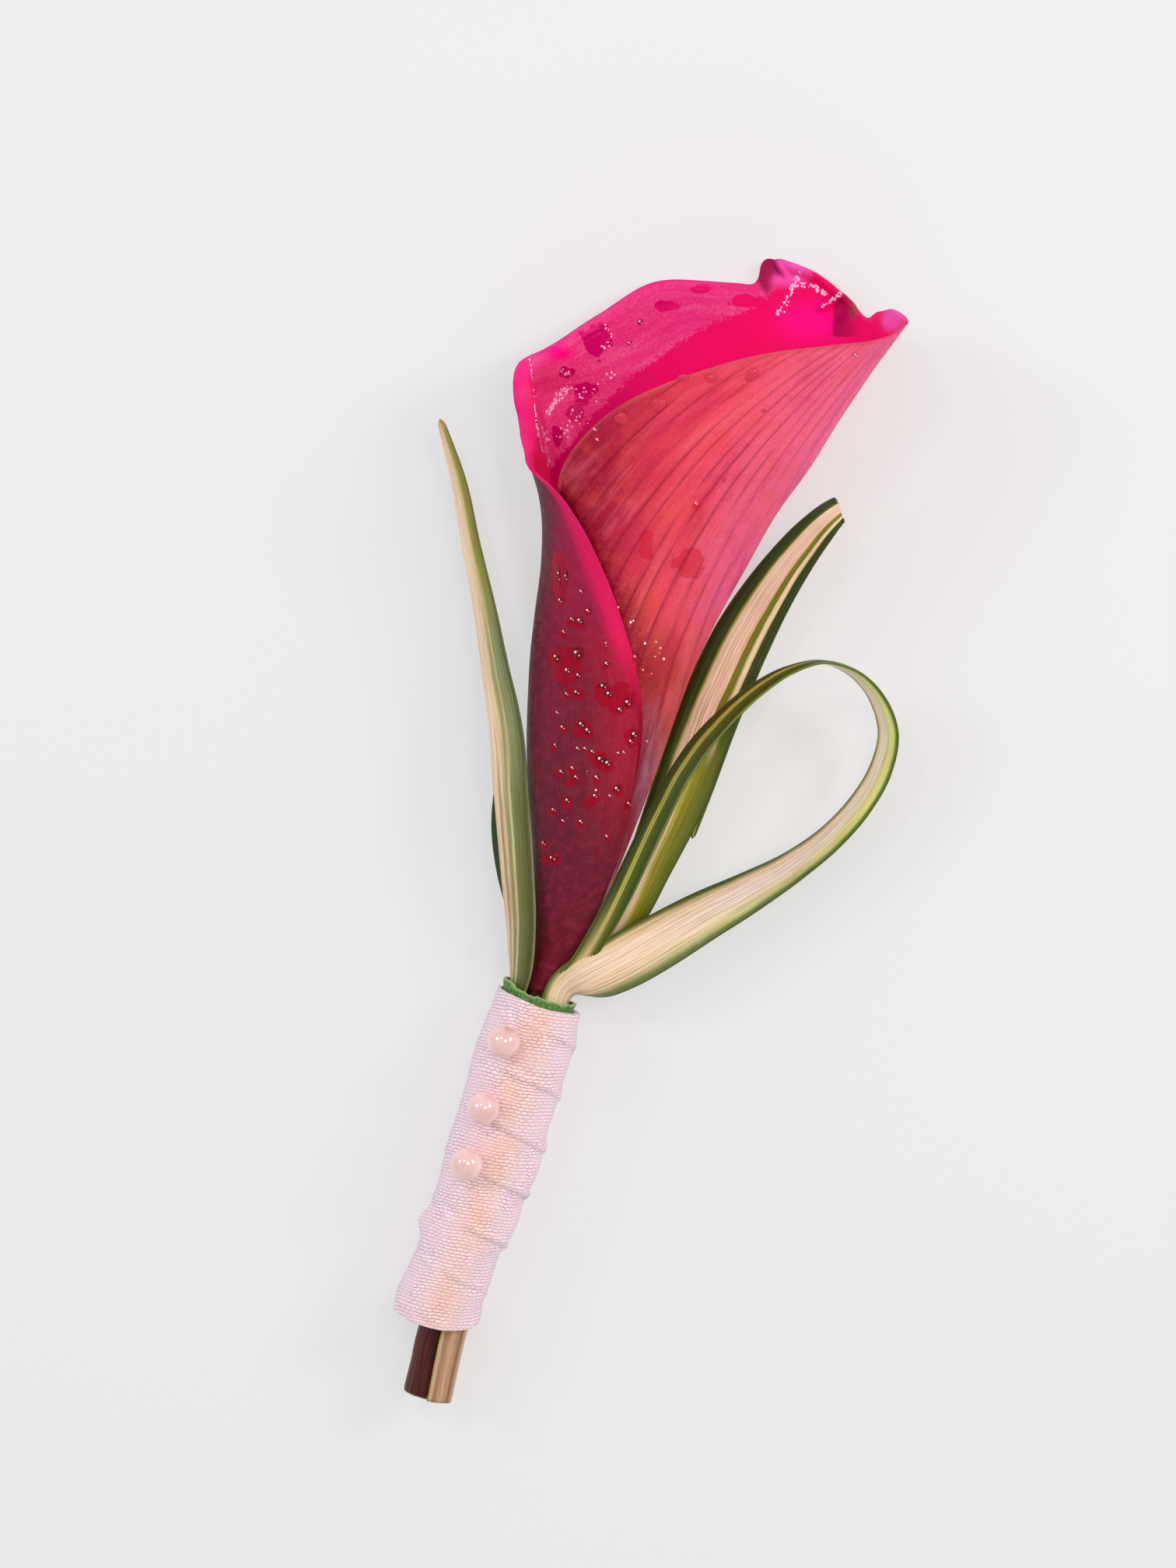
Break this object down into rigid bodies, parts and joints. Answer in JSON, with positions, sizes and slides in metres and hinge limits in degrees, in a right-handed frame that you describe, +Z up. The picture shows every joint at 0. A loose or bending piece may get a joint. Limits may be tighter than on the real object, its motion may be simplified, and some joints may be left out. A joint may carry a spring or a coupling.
{
  "type": "single-bloom calla corsage",
  "caption": "Calla bloom with striped grass blades, its stems bound in green tape and pink satin ribbon set with pearl-headed pins, lying on its back.",
  "frame": {"origin": "under the middle of the footprint, on the surface that the corsage lies on", "axes": "+Y along the handle from the cut stems to the bloom, +X to the side of the looped blade, +Z up from the surface"},
  "size_m": [0.0666, 0.1486, 0.0288],
  "materials": {
    "spathe": "waxy calla petal, coral pink in front, magenta inside, burgundy low down",
    "spadix": "matte pollen yellow",
    "stem": "smooth dark burgundy plant stem",
    "grass": "satin leaf striped cream and green",
    "grass_dark": "satin dark green leaf",
    "tape": "waxed crepe tape, matte green",
    "satin": "pale pink satin weave",
    "pearl": "pale pink imitation pearl",
    "steel": "bright pin steel"
  },
  "bodies": {
    "root": {"calla_spathe": "spathe", "calla_spadix": "spadix", "calla_stem": "stem", "grass_blade_left": "grass", "grass_blade_left_rear": "grass_dark", "grass_blade_folded": "grass", "grass_loop": "grass", "floral_tape": "tape", "satin_ribbon": "satin", "pearl_head_1": "pearl", "pearl_head_2": "pearl", "pearl_head_3": "pearl", "pin_shank_1": "steel", "pin_shank_2": "steel", "pin_shank_3": "steel"}
  },
  "joints": []
}
